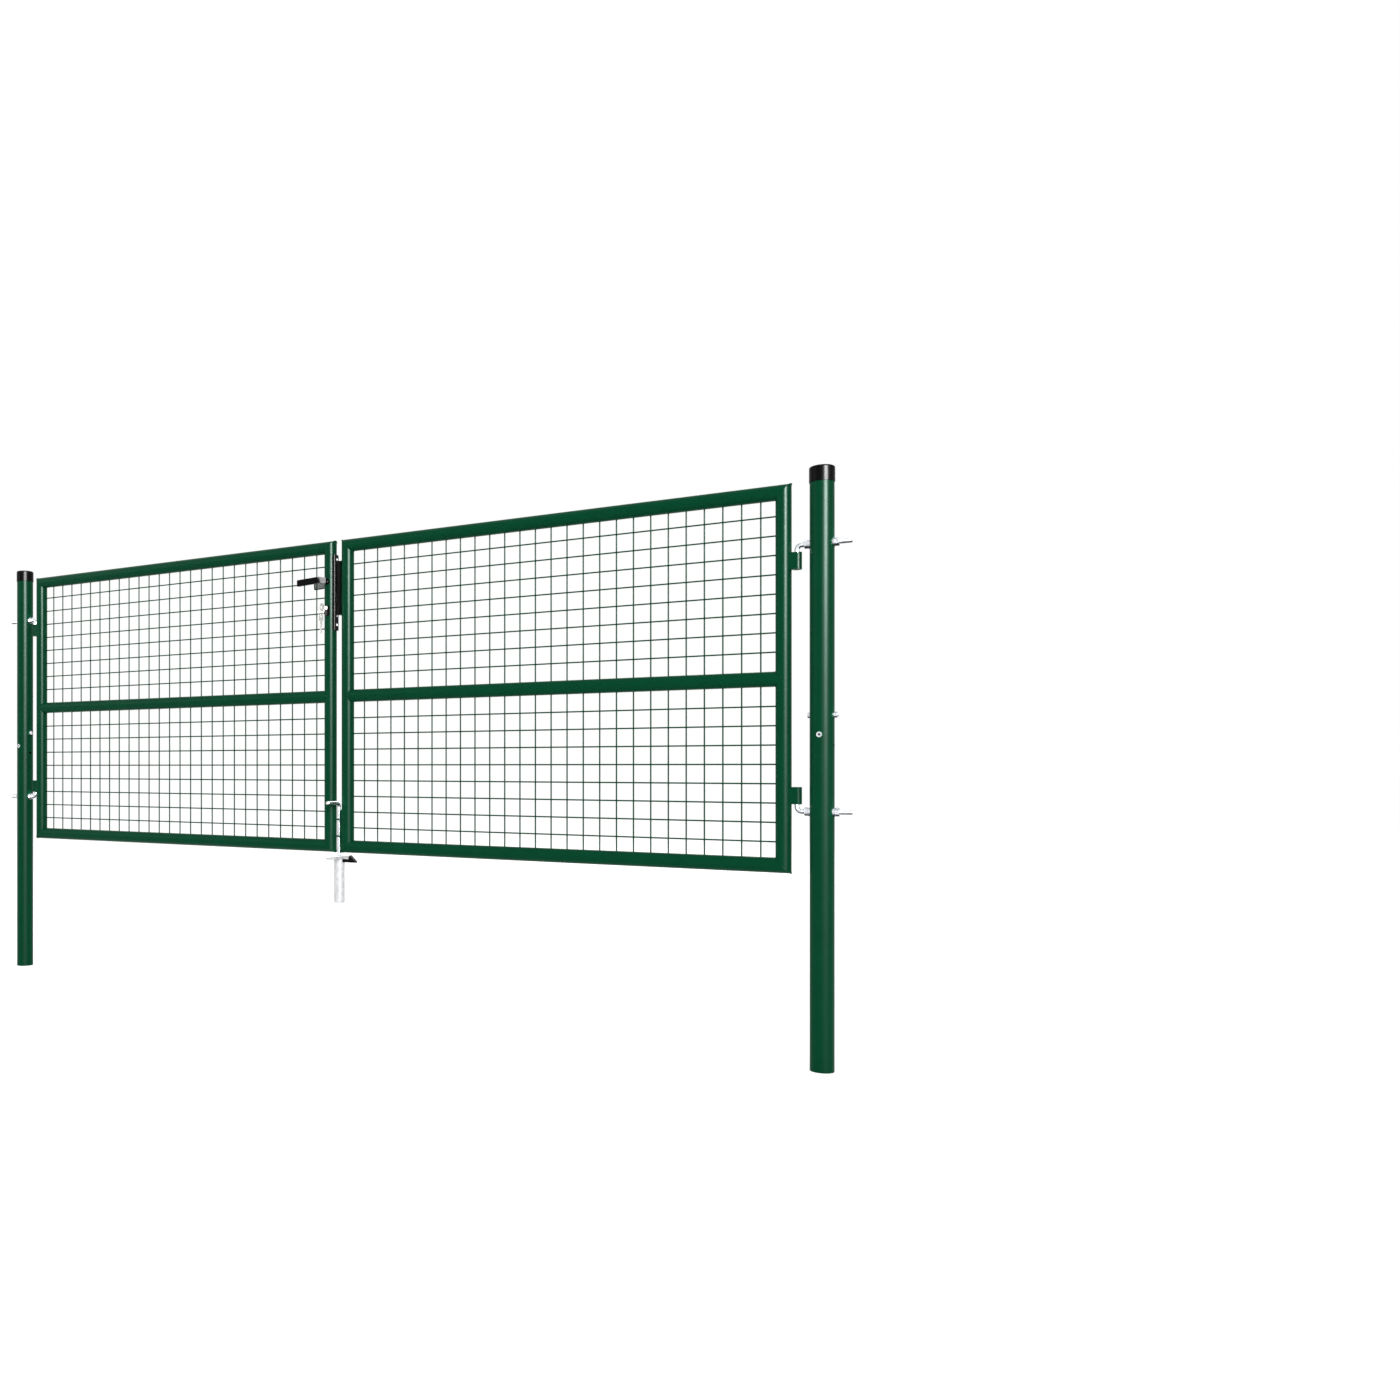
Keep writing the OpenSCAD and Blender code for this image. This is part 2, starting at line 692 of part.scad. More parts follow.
// Drop bolt held up, with its handle bent to the front
module drop_bolt() color(zinc) translate([bolt_x, 0, post_below + bolt_lift]) {
    straight = bolt_len - bolt_bend;
    rod(bolt_d, straight);
    translate([0, -bolt_bend, straight]) rotate([90, 0, 90])
        rotate_extrude(angle = 90) translate([bolt_bend, 0]) circle(d = bolt_d);
    translate([0, -bolt_handle, bolt_len]) along_y() rod(bolt_d, bolt_handle - bolt_bend);
}

module ground_sleeve() color(zinc) difference() {
    side = sleeve_plate_w / 2 - sleeve_plate_round;
    end = sleeve_plate_l / 2 - sleeve_plate_round;
    union() {
        translate([bolt_x, 0, post_below - sleeve_len])
            cylinder(d = sleeve_d, h = sleeve_len - sleeve_plate_t);
        translate([bolt_x, 0, post_below - sleeve_plate_t]) linear_extrude(sleeve_plate_t) {
            square([2 * side, sleeve_plate_l], center = true);
            square([sleeve_plate_w, 2 * end], center = true);
            for (x = [-side, side], y = [-end, end]) translate([x, y])
                circle(r = sleeve_plate_round);
        }
    }
    translate([bolt_x, 0, post_below - sleeve_len - cut])
        cylinder(d = sleeve_d - 2 * sleeve_wall, h = sleeve_len - sleeve_plate_t + cut);
    translate([bolt_x, 0, post_below - 2 * sleeve_plate_t])
        cylinder(d = sleeve_hole, h = 3 * sleeve_plate_t);
}

// Catch for a leaf beside the sleeve: a bar with a sloped nose
module sleeve_catch() color(black_metal) difference() {
    translate([bolt_x, catch_t / 2, post_below]) rotate([90, 0, 0]) mirror([1, 0, 0])
        linear_extrude(catch_t) polygon([[0, catch_low], [catch_reach, catch_low],
            [catch_reach, catch_low + catch_edge], [nose_peak, nose_high],
            [nose_back, catch_high], [0, catch_high]]);
    translate([bolt_x, 0, post_below - sleeve_len]) cylinder(d = sleeve_d, h = 2 * sleeve_len);
}

post();  // left_post
on_right() post();  // right_post
post_cap();  // left_post_cap
on_right() post_cap();  // right_post_cap
hook_bolt(1);  // left_upper_hook_bolt
hook_bolt(-1);  // left_lower_hook_bolt
on_right() hook_bolt(1);  // right_upper_hook_bolt
on_right() hook_bolt(-1);  // right_lower_hook_bolt
hinge_nuts();  // left_hinge_nuts
on_right() hinge_nuts();  // right_hinge_nuts
cross_bolt();  // left_cross_bolt
on_right() cross_bolt();  // right_cross_bolt
insert();  // left_insert
on_right() insert();  // right_insert
on_right() ground_sleeve();
on_right() sleeve_catch();
hinge_stile();  // left_hinge_stile
lock_stile();  // left_lock_stile
top_rail();  // left_top_rail
bottom_rail();  // left_bottom_rail
middle_rail();  // left_middle_rail
mesh_upper();  // left_mesh_upper
mesh_lower();  // left_mesh_lower
hinge_eye(1);  // left_upper_eye
hinge_eye(-1);  // left_lower_eye
lock_case();
lock_forend();
latch_tongue();
dead_bolt();
lock_cylinder();
roses();  // front_roses
mirror([0, 1, 0]) roses();  // rear_roses
key();
key_ring();
spare_key();
lever();  // front_lever
mirror([0, 1, 0]) lever();  // rear_lever
lever_spindle();
on_right() hinge_stile();  // right_hinge_stile
on_right() meeting_stile();  // right_meeting_stile
on_right() top_rail();  // right_top_rail
on_right() bottom_rail();  // right_bottom_rail
on_right() middle_rail();  // right_middle_rail
on_right() mesh_upper();  // right_mesh_upper
on_right() mesh_lower();  // right_mesh_lower
on_right() hinge_eye(1);  // right_upper_eye
on_right() hinge_eye(-1);  // right_lower_eye
on_right() strike();
on_right() drop_bolt_bracket();
on_right() drop_bolt();
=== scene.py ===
"""Mesh swing gate: finishes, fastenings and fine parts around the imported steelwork."""

import json
import math

import bmesh
import bpy
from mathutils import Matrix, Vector

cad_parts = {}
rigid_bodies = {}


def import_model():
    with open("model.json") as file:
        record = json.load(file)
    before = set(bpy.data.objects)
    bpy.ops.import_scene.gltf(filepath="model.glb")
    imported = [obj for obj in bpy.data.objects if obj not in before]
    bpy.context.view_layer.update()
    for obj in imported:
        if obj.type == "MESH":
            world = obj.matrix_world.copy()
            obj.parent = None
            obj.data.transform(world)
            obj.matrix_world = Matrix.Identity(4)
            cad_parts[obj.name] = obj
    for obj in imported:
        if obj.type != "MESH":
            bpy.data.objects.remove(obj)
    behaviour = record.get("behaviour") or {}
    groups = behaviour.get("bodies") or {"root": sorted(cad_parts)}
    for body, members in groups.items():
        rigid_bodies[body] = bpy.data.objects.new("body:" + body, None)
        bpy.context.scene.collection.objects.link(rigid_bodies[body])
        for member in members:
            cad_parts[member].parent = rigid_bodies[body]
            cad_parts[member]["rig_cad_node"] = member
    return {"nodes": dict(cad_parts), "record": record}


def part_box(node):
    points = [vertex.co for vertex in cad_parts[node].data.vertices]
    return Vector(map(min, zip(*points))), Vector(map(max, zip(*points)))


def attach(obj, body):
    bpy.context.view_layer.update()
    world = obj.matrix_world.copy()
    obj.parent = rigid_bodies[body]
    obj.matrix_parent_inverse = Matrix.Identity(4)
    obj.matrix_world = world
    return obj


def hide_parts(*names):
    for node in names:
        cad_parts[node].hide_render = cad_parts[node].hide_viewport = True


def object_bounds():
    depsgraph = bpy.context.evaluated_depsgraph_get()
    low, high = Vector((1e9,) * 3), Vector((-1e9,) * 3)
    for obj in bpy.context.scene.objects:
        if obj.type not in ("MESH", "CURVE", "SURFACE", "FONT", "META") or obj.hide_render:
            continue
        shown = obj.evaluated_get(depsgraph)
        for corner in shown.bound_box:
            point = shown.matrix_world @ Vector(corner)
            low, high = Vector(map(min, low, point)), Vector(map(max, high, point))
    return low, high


bl_info = {
    "name": "Mesh Swing Gate",
    "version": (1, 0, 0),
    "blender": (4, 5, 0),
    "location": "3D View > Sidebar > Gate",
    "description": "Finishes and fine parts of a double-leaf welded-mesh garden gate",
    "category": "Add Mesh",
}

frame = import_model()
CAD_NODES = frame["nodes"]
CAD_LOW, CAD_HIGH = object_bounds()
MIDDLE_X = (CAD_LOW.x + CAD_HIGH.x) / 2

MM = 0.001
EIGHTH = math.pi / 4  # an eighth of a turn, as at a mitre
QUARTER = math.pi / 2
SLANT = math.sqrt(2)  # how much longer a tube's section is when it is cut at a mitre

COAT = "powder_coated_green"
PATTERN_BAND = (0.3, 0.7)  # most values of a pattern lie between these two
THREAD_COVER = 0.94  # share of a thread's pitch that its ridge's foot covers
THREAD_OUT = 1.2  # how far a ridge stands out of its rod, in radii of its triangle
BEAD_STEP = 1.1  # from one ripple of a straight bead to the next, in radii of the bead
BEAD_FLAT = 0.9  # height of a ripple, in radii of the bead
SPOT_FLAT = 0.75  # depth of the metal squeezed out at a crossing, as a share of its reach
WIRE_GAP = 10.0 * MM  # places further apart than this belong to two wires
BEVEL_RULE = {"segments": 2, "limit_method": "ANGLE"}  # rounds the sharp edges only

FLOOR_GREY = (0.8, 0.8, 0.8, 1.0)
FLOOR_LIFT = 0.57  # light of its own that lifts the lit floor to white
AMBIENT = 0.55  # strength of the world's light on the object
SENSOR = 36.0  # the camera's sensor width, in millimetres
LAMPS = (  # name, place, width, height, power, and whether it lights more than gloss
    ("main_lamp", (7.5, -6.0, 5.5), 4.0, 4.0, 330.0, True),
    ("fill_lamp", (-4.0, -5.0, 3.5), 4.0, 4.0, 90.0, True),
    ("back_lamp", (2.0, 7.0, 5.0), 5.0, 4.0, 160.0, True),
    ("sheen_lamp", (32.0, -26.0, 12.0), 18.0, 8.5, 190000.0, False),
)


# ---------------------------------------------------------------- colours and shader nodes


def linear(hex_colour):
    """An sRGB hex colour as the linear RGBA that a shader socket takes."""
    values = [int(hex_colour[i : i + 2], 16) / 255 for i in (1, 3, 5)]
    return [((v + 0.055) / 1.055) ** 2.4 if v > 0.04045 else v / 12.92 for v in values] + [1.0]


def add_node(tree, kind, links=(), **settings):
    """Adds a shader node. A setting named after an input sets that socket's value, any other one
    sets the node's own option. Links are (output socket, name or number of the input)."""
    made = tree.nodes.new(kind)
    for name, value in settings.items():
        socket = made.inputs.get(name.replace("_", " "))
        if socket is not None and not hasattr(made, name):
            socket.default_value = value
        else:
            setattr(made, name, value)
    for source, name in links:
        tree.links.new(source, made.inputs[name])
    return made


def new_material(name, **values):
    """A material with one Principled shader whose plain sockets take these values."""
    made = bpy.data.materials.new(name)
    made.use_nodes = True
    shader = made.node_tree.nodes["Principled BSDF"]
    for socket, value in values.items():
        shader.inputs[socket.replace("_", " ")].default_value = value
    return made, made.node_tree, shader


def pattern(tree, kind, size_mm, **settings):
    """A pattern on Object coordinates whose features are about that many millimetres across."""
    place = add_node(tree, "ShaderNodeTexCoord")
    scale = 1.0 / (size_mm * MM)
    links = [(place.outputs["Object"], "Vector")]
    return add_node(tree, kind, links=links, Scale=scale, **settings)


def show_pattern(tree, shader, factor, colours=None, roughness=None, relief=None):
    """Runs the base colour and the roughness between two values along a pattern, and raises
    the surface by it. Relief is its depth in millimetres and its strength."""
    if colours:
        ramp = add_node(tree, "ShaderNodeValToRGB", links=[(factor, "Fac")])
        for stop, place, colour in zip(ramp.color_ramp.elements, PATTERN_BAND, colours):
            stop.position = place
            stop.color = colour
        tree.links.new(ramp.outputs["Color"], shader.inputs["Base Color"])
    if roughness:
        rough = add_node(
            tree,
            "ShaderNodeMapRange",
            links=[(factor, "Value")],
            From_Min=PATTERN_BAND[0],
            From_Max=PATTERN_BAND[1],
            To_Min=roughness[0],
            To_Max=roughness[1],
        )
        tree.links.new(rough.outputs["Result"], shader.inputs["Roughness"])
    if relief:
        raised = add_node(
            tree,
            "ShaderNodeBump",
            links=[(factor, "Height")],
            Distance=relief[0] * MM,
            Strength=relief[1],
        )
        tree.links.new(raised.outputs["Normal"], shader.inputs["Normal"])


def paint_shade_below(tree, shader, share):
    """Painted shade: keeps only a share of the base colour on faces that look down by 45 degrees or
    more, and all of it on faces that are nearly upright."""
    place = add_node(tree, "ShaderNodeTexCoord")
    normal = add_node(
        tree, "ShaderNodeSeparateXYZ", links=[(place.outputs["Normal"], "Vector")]
    )
    fade = add_node(
        tree,
        "ShaderNodeMapRange",
        links=[(normal.outputs["Z"], "Value")],
        From_Min=-0.7,
        From_Max=-0.1,
        To_Min=share,
    )
    unshaded_colour = shader.inputs["Base Color"].links[0].from_socket
    mixed = add_node(
        tree,
        "ShaderNodeVectorMath",
        links=[(unshaded_colour, 0), (fade.outputs["Result"], 1)],
        operation="MULTIPLY",
    )
    tree.links.new(mixed.outputs["Vector"], shader.inputs["Base Color"])


def seen_ray(tree):
    """1 for camera, glossy and transmission rays, else 0."""
    path = add_node(tree, "ShaderNodeLightPath")
    total = path.outputs["Is Camera Ray"]
    for name in ("Is Glossy Ray", "Is Transmission Ray"):
        links = [(total, 0), (path.outputs[name], 1)]
        total = add_node(tree, "ShaderNodeMath", links=links, operation="MAXIMUM").outputs[0]
    return total


# ---------------------------------------------------------------- materials


def polyester_powder_coat(*colours):
    """Moss-green polyester powder coat, baked on: an even satin skin with faint orange peel."""
    made, tree, shader = new_material(
        "polyester_powder_coat",
        Specular_IOR_Level=0.04,
        Specular_Tint=(0.78, 1.0, 0.92, 1.0),
    )
    cloud = pattern(tree, "ShaderNodeTexNoise", 60.0, Detail=2.0).outputs["Fac"]
    peel = pattern(tree, "ShaderNodeTexNoise", 2.5, Detail=1.0).outputs["Fac"]
    show_pattern(tree, shader, cloud, colours)
    show_pattern(tree, shader, peel, roughness=(0.27, 0.31), relief=(0.02, 0.3))
    return made


def moulded_polypropylene(*colours):
    """Injection-moulded black polypropylene: glossy, with a very fine moulding texture."""
    made, tree, shader = new_material("moulded_polypropylene", Specular_IOR_Level=0.045)
    grain = pattern(tree, "ShaderNodeTexNoise", 1.5, Detail=2.0).outputs["Fac"]
    show_pattern(tree, shader, grain, colours, (0.26, 0.32), relief=(0.01, 0.2))
    return made


def polished_polyamide(*colours):
    """Black polyamide of the levers, polished by hands, with a clearer shine than the caps."""
    made, tree, shader = new_material("polished_polyamide", Specular_IOR_Level=0.03)
    grain = pattern(tree, "ShaderNodeTexNoise", 2.0, Detail=2.0).outputs["Fac"]
    show_pattern(tree, shader, grain, colours, (0.20, 0.25), relief=(0.01, 0.1))
    return made


def painted_reflection_polyamide(*colours):
    """Moulded polyamide in a dull mid grey, with a fine grain. The grey is a painted reflection on
    the levers' black plastic.
    """
    made, tree, shader = new_material("painted_reflection_polyamide", Specular_IOR_Level=0.2)
    grain = pattern(tree, "ShaderNodeTexNoise", 1.5, Detail=2.0).outputs["Fac"]
    show_pattern(tree, shader, grain, colours, (0.5, 0.6), relief=(0.01, 0.2))
    return made


def black_coated_steel(*colours):
    """Steel with a black powder coat: it shines as the plastic does, under faint orange peel."""
    made, tree, shader = new_material("black_coated_steel", Specular_IOR_Level=0.045)
    peel = pattern(tree, "ShaderNodeTexNoise", 2.0, Detail=2.0).outputs["Fac"]
    show_pattern(tree, shader, peel, colours, (0.26, 0.32), relief=(0.02, 0.3))
    return made


def zinc_plated_steel(*colours):
    """Bright electroplated zinc: a pale metal with soft clouds and a clear reflection, whose
    undersides are darkened to near black as painted shade."""
    made, tree, shader = new_material("zinc_plated_steel", Metallic=1.0)
    cloud = pattern(tree, "ShaderNodeTexNoise", 8.0, Detail=3.0).outputs["Fac"]
    show_pattern(tree, shader, cloud, colours, (0.22, 0.34), relief=(0.02, 0.15))
    # painted shade: the undersides keep only 5 per cent of the base colour
    paint_shade_below(tree, shader, 0.05)
    return made


def hot_dip_galvanised_steel(*colours):
    """Hot-dip galvanised steel under its chalky white bloom, so it is pale and dull, with faint
    crystal spangle of 8 mm."""
    made, tree, shader = new_material(
        "hot_dip_galvanised_steel", Metallic=0.02, Specular_IOR_Level=0.1
    )
    spangle = pattern(tree, "ShaderNodeTexVoronoi", 8.0).outputs["Color"]
    grey = add_node(tree, "ShaderNodeRGBToBW", links=[(spangle, "Color")]).outputs["Val"]
    show_pattern(tree, shader, grey, colours, (0.50, 0.62), relief=(0.03, 0.2))
    return made


def nickel_plated_brass(*colours):
    """Satin nickel plate over brass, as on keys: pale and bright all over, with a soft sheen."""
    made, tree, shader = new_material("nickel_plated_brass", Metallic=0.15)
    cloud = pattern(tree, "ShaderNodeTexNoise", 3.0, Detail=2.0).outputs["Fac"]
    show_pattern(tree, shader, cloud, colours, (0.30, 0.40))
    return made


def nickel_painted_dark(*colours):
    """Polished nickel plate of the lock cylinder, whose base colour is kept near black as a painted
    dark reflection, with sharp pale glints.
    """
    made, tree, shader = new_material("nickel_painted_dark", Metallic=1.0)
    cloud = pattern(tree, "ShaderNodeTexNoise", 4.0, Detail=2.0).outputs["Fac"]
    show_pattern(tree, shader, cloud, colours, (0.10, 0.18))
    return made


def oiled_steel(*colours):
    """Case-hardened steel of the latch and the dead bolt, dark and slightly oily."""
    made, tree, shader = new_material("oiled_steel", Metallic=1.0)
    cloud = pattern(tree, "ShaderNodeTexNoise", 5.0, Detail=3.0).outputs["Fac"]
    show_pattern(tree, shader, cloud, colours, (0.30, 0.42))
    return made


def studio_floor():
    """Matt white floor. What it shows to the camera and in gloss is lifted to white, and it
    keeps the object's shadow."""
    made = bpy.data.materials.new("studio_floor")
    made.use_nodes = True
    tree = made.node_tree
    tree.nodes.clear()
    matt = add_node(tree, "ShaderNodeBsdfDiffuse", Color=FLOOR_GREY)
    glow = add_node(
        tree,
        "ShaderNodeEmission",
        links=[(seen_ray(tree), "Strength")],
        Color=(FLOOR_LIFT, FLOOR_LIFT, FLOOR_LIFT, 1.0),
    )
    links = [(matt.outputs["BSDF"], 0), (glow.outputs["Emission"], 1)]
    both = add_node(tree, "ShaderNodeAddShader", links=links)
    add_node(tree, "ShaderNodeOutputMaterial", links=[(both.outputs["Shader"], "Surface")])
    return made


# ---------------------------------------------------------------- making pieces


def add_primitive(kind, **values):
    """Adds one primitive with nothing else selected, and returns it in object mode."""
    bpy.ops.object.select_all(action="DESELECT")
    getattr(bpy.ops.mesh, f"primitive_{kind}_add")(**values)
    return bpy.context.object


def set_place():
    """Moves the active object's place, turn and scale into its mesh."""
    bpy.ops.object.transform_apply(location=True, rotation=True, scale=True)


def add_modifier(kind, **values):
    """Adds a modifier to the active object and applies it."""
    made = bpy.context.object.modifiers.new(kind.lower(), kind)
    for name, value in values.items():
        setattr(made, name, value)
    bpy.ops.object.modifier_apply(modifier=made.name)


def start_edit():
    """Edit mode on the active object with all of it selected."""
    bpy.ops.object.mode_set(mode="EDIT")
    bpy.ops.mesh.select_mode(type="FACE")
    bpy.ops.mesh.select_all(action="SELECT")


def choose_faces(test):
    """In edit mode, selects the faces that pass a test and no others."""
    bpy.ops.mesh.select_all(action="DESELECT")
    mesh = bpy.context.object.data
    edited = bmesh.from_edit_mesh(mesh)
    for face in edited.faces:
        face.select_set(test(face))
    bmesh.update_edit_mesh(mesh)


def face_outwards():
    """Merges the active object's doubles and turns its faces outwards."""
    start_edit()
    bpy.ops.mesh.remove_doubles(threshold=1e-6)
    bpy.ops.mesh.normals_make_consistent(inside=False)
    bpy.ops.object.mode_set(mode="OBJECT")


def stretch(value):
    """Stretches the active object's mesh along its axes."""
    start_edit()
    bpy.ops.transform.resize(value=value)
    bpy.ops.object.mode_set(mode="OBJECT")


def repeat(count, step):
    """Repeats the active object that many times, a step apart."""
    add_modifier(
        "ARRAY",
        count=count,
        use_relative_offset=False,
        use_constant_offset=True,
        constant_offset_displace=step,
    )


def close_piece(name, body, slot, finish=None, smooth=35.0):
    """Gives the active object its place, name, finish and body, and smooths its edges of up
    to that many degrees. The finish is the slot's, unless another is named."""
    piece = bpy.context.object
    set_place()
    face_outwards()
    bpy.ops.object.shade_smooth_by_angle(angle=math.radians(smooth))
    piece.name = name
    piece.data.name = name
    piece.data.materials.clear()
    piece.data.materials.append(FINISHES[finish or slot])
    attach(piece, body)
    return piece


def copy_piece(piece, name, body, mirrored=False):
    """A copy with its own mesh, mirrored to the other half of the gate if asked."""
    bpy.ops.object.select_all(action="DESELECT")
    piece.select_set(True)
    bpy.context.view_layer.objects.active = piece
    bpy.ops.object.duplicate(linked=False)
    made = bpy.context.object
    if mirrored:
        made.scale.x = -1.0
        made.location.x = 2 * MIDDLE_X
    set_place()
    face_outwards()
    made.name = name
    made.data.name = name
    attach(made, body)
    return made


def wind_thread(name, radius, pitch, length, place, turned):
    """The ridge of a thread, wound up round an upright rod, then turned and set in place."""
    ridge = bpy.context.scene.gate_fastenings.ridge
    reach = ridge / THREAD_OUT
    add_primitive("circle", vertices=3, radius=reach, rotation=(QUARTER, QUARTER, 0.0))
    set_place()
    start_edit()
    spread = THREAD_COVER * pitch / (reach * math.sqrt(3))
    bpy.ops.transform.resize(value=(1.0, 1.0, spread))
    bpy.ops.transform.translate(value=(radius + ridge - reach, 0.0, pitch / 2))
    bpy.ops.object.mode_set(mode="OBJECT")
    add_modifier(
        "SCREW",
        steps=16,
        render_steps=16,
        screw_offset=pitch,
        iterations=int(length / pitch - 1),
        use_smooth_shade=False,
    )
    start_edit()
    bpy.ops.mesh.fill_holes(sides=3)
    bpy.ops.object.mode_set(mode="OBJECT")
    bpy.context.object.rotation_euler = turned
    bpy.context.object.location = place
    return close_piece(name, "posts", "zinc_plated_steel", smooth=20.0)


def lump():
    """Gives the active object the small lumps of a bead that was laid by hand."""
    welds = bpy.context.scene.gate_welds
    grain = bpy.data.textures.new("weld_lumps", "CLOUDS")
    grain.noise_scale = welds.lump_width
    add_modifier("DISPLACE", texture=grain, strength=welds.lumps, mid_level=0.5)


def ring_bead(name, body, radius, place, turned=(0.0, 0.0, 0.0), oval=1.0, slot=COAT):
    """A flat weld bead round a tube, drawn out to an oval where the tube is cut at a slant."""
    welds = bpy.context.scene.gate_welds
    add_primitive(
        "torus",
        major_radius=radius,
        minor_radius=welds.flat_bead,
        major_segments=72,
        minor_segments=8,
    )
    stretch((oval, 1.0, 1.0))
    bpy.context.object.rotation_euler = turned
    bpy.context.object.location = place
    set_place()
    lump()
    return close_piece(name, body, slot, smooth=60.0)


def keep_side(point, normal):
    """Cuts the active object at a plane and keeps the side that the normal points to."""
    start_edit()
    bpy.ops.mesh.bisect(
        plane_co=point, plane_no=normal, use_fill=True, clear_inner=True, clear_outer=False
    )
    bpy.ops.object.mode_set(mode="OBJECT")


def straight_bead(name, body, start, length):
    """An upright weld bead from its lower end, with the ripples that a welder leaves."""
    welds = bpy.context.scene.gate_welds
    step = BEAD_STEP * welds.bead
    add_primitive("uv_sphere", segments=10, ring_count=6, radius=welds.bead, location=start)
    stretch((1.0, 1.0, BEAD_FLAT))
    repeat(max(2, int(length / step)), (0.0, 0.0, step))
    set_place()
    lump()
    return close_piece(name, body, COAT, smooth=60.0)


# ---------------------------------------------------------------- settings


def colour_setting(name, description, hex_colour):
    """A colour that can be changed, from its sRGB hex value."""
    return bpy.props.FloatVectorProperty(
        name=name,
        description=description,
        subtype="COLOR",
        size=4,
        min=0.0,
        max=1.0,
        default=linear(hex_colour),
    )


class GateColours(bpy.types.PropertyGroup):
    """Colours of the gate's finishes."""

    coat: colour_setting("Coat", "Powder coat of the tubes and the mesh", "#02442A")
    coat_light: colour_setting("Coat, lighter", "Lighter clouds in the powder coat", "#02482D")
    plastic: colour_setting("Plastic", "Caps and levers", "#060606")
    black_coat: colour_setting("Black coat", "Lock, roses, strike and the sleeve's catch", "#0B0B0C")
    zinc: colour_setting("Zinc", "Bolts, nuts and the drop bolt", "#C9CDD2")
    galvanised: colour_setting("Galvanised", "Ground sleeve", "#E2E3E5")
    nickel: colour_setting("Nickel", "Keys, ring and the lock cylinder's plugs", "#FAF9F5")
    # painted dark reflection: the cylinder's body is kept near black
    cylinder: colour_setting("Cylinder", "Body of the lock cylinder", "#343434")
    tongue: colour_setting("Tongue", "Latch and dead bolt", "#1E1E1E")
    # painted reflection: the grey of the plates on the levers' inner sides
    core: colour_setting("Core", "Plates in the backs of the levers", "#8A8A8A")


def size_setting(name, description, size_mm):
    """A length that can be changed, from its value in millimetres."""
    return bpy.props.FloatProperty(
        name=name, description=description, default=size_mm * MM, unit="LENGTH"
    )


class FasteningSettings(bpy.types.PropertyGroup):
    """Threads and screws."""

    hook_pitch: size_setting("Hook bolt pitch", "Rise of one turn on the M12 hook bolts", 1.75)
    cross_pitch: size_setting("Cross bolt pitch", "Rise of one turn on the M8 cross bolts", 1.25)
    ridge: size_setting("Ridge", "How far a thread's ridge stands out of its rod", 0.5)
    recess: size_setting("Recess", "Width of an arm of the cross in a screw's head", 1.3)


class WeldSettings(bpy.types.PropertyGroup):
    """Welds of the frames and of the mesh."""

    bead: size_setting("Bead", "Radius of a weld bead", 1.6)
    flat_bead: size_setting("Flat bead", "Radius of a bead between two tubes", 0.9)
    lumps: size_setting("Lumps", "Height of the lumps in a weld bead", 0.4)
    lump_width: size_setting("Lump width", "Width of the lumps in a weld bead", 3.0)
    spot: size_setting("Spot", "Reach of the squeezed-out metal where two wires cross", 2.4)


class LockSettings(bpy.types.PropertyGroup):
    """Lock fittings."""

    plug: size_setting("Plug", "Radius of the turning plug in the lock cylinder's face", 6.2)
    # sizes of the grey plates that paint a reflection on the levers
    reflection_plate_length: size_setting("Core length", "Length of the plate in the back of a lever", 76.0)
    reflection_plate_width: size_setting("Core width", "Width of the plate in the back of a lever", 17.0)
    bend: size_setting("Bend", "Radius of a lever's bend along its middle", 20.0)
    thick: size_setting("Thickness", "Thickness of a lever", 12.0)
    flat: size_setting("Flat", "From the centre of a lever's bend to its outer flat", 21.0)
    end_flat: size_setting("End flat", "From that centre to the flat beside the rose", 24.6)
    flat_turn: bpy.props.FloatProperty(
        name="Turn of the flat",
        description="Between the outer flat and the front of the lever",
        subtype="ANGLE",
        default=math.radians(41.0),
    )
    end_turn: bpy.props.FloatProperty(
        name="Turn of the end flat",
        description="Between the flat beside the rose and the front of the lever",
        subtype="ANGLE",
        default=math.radians(62.0),
    )


class StudioSettings(bpy.types.PropertyGroup):
    """Camera of the studio."""

    lens: bpy.props.FloatProperty(
        name="Lens",
        description="Focal length on a 36 mm sensor, in millimetres",
        subtype="DISTANCE_CAMERA",
        default=31.11,
    )
    turn: bpy.props.FloatProperty(
        name="Turn",
        description="How far the camera looks to the left of straight on",
        subtype="ANGLE",
        default=math.radians(33.21),
    )
    shift: bpy.props.FloatVectorProperty(
        name="Shift",
        description="Shift of the lens, in widths of the picture",
        size=2,
        default=(0.2221, 0.0480),
    )
    eye: bpy.props.FloatVectorProperty(
        name="Eye",
        description="Where the camera stands",
        subtype="TRANSLATION",
        unit="LENGTH",
        default=(3.7596, -3.1600, 0.7677),
    )


# ---------------------------------------------------------------- operators


FINISHES = {}  # filled by make_finishes
OWN_FINISH = {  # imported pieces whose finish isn't the usual one of their slot
    "front_lever": "polished_polyamide",
    "rear_lever": "polished_polyamide",
    # the lock cylinder's near-black nickel is a painted dark reflection
    "lock_cylinder": "nickel_painted_dark",
    "latch_tongue": "oiled_steel",
    "dead_bolt": "oiled_steel",
}


